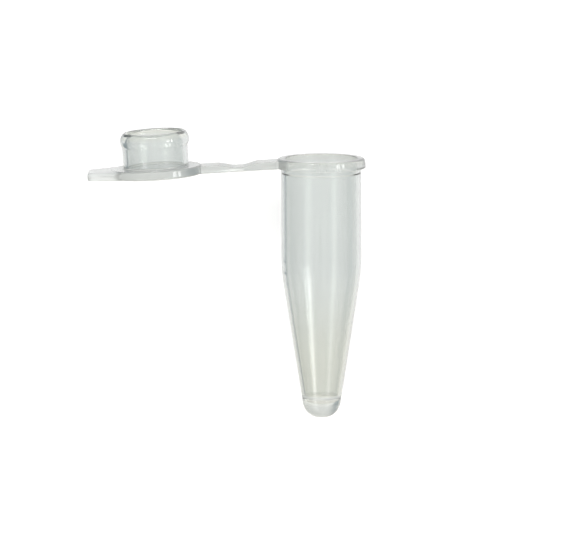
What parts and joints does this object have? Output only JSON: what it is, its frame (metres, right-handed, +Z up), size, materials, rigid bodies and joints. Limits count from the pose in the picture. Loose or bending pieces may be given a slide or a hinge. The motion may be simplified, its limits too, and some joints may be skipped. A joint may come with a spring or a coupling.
{
  "type": "pcr tube",
  "caption": "Small clear conical reaction tube with a thick rim and an attached snap cap, whose plug and thumb tab swing open on a thin moulded strap.",
  "frame": {"origin": "on the table, under the middle of the open tube's box", "axes": "+Z up from the table that the open tube lies on; the tube's axis is in the YZ plane with its mouth towards +Y; the cap hangs out towards -X"},
  "size_m": [0.0224, 0.0234, 0.0075],
  "materials": {
    "clear_polypropylene": "clear natural polypropylene with a faint haze, smooth and glossy as moulded"
  },
  "bodies": {
    "tube": {"tube": "clear_polypropylene"},
    "cap": {"cap": "clear_polypropylene"}
  },
  "joints": [
    {"name": "cap_hinge", "type": "hinge", "parent": "tube", "child": "cap", "pos_m": [0.00096, 0.0092, 0.00371], "axis": [-0.0143, 0.0497, -0.9987], "range_deg": [0, 183.3]}
  ]
}
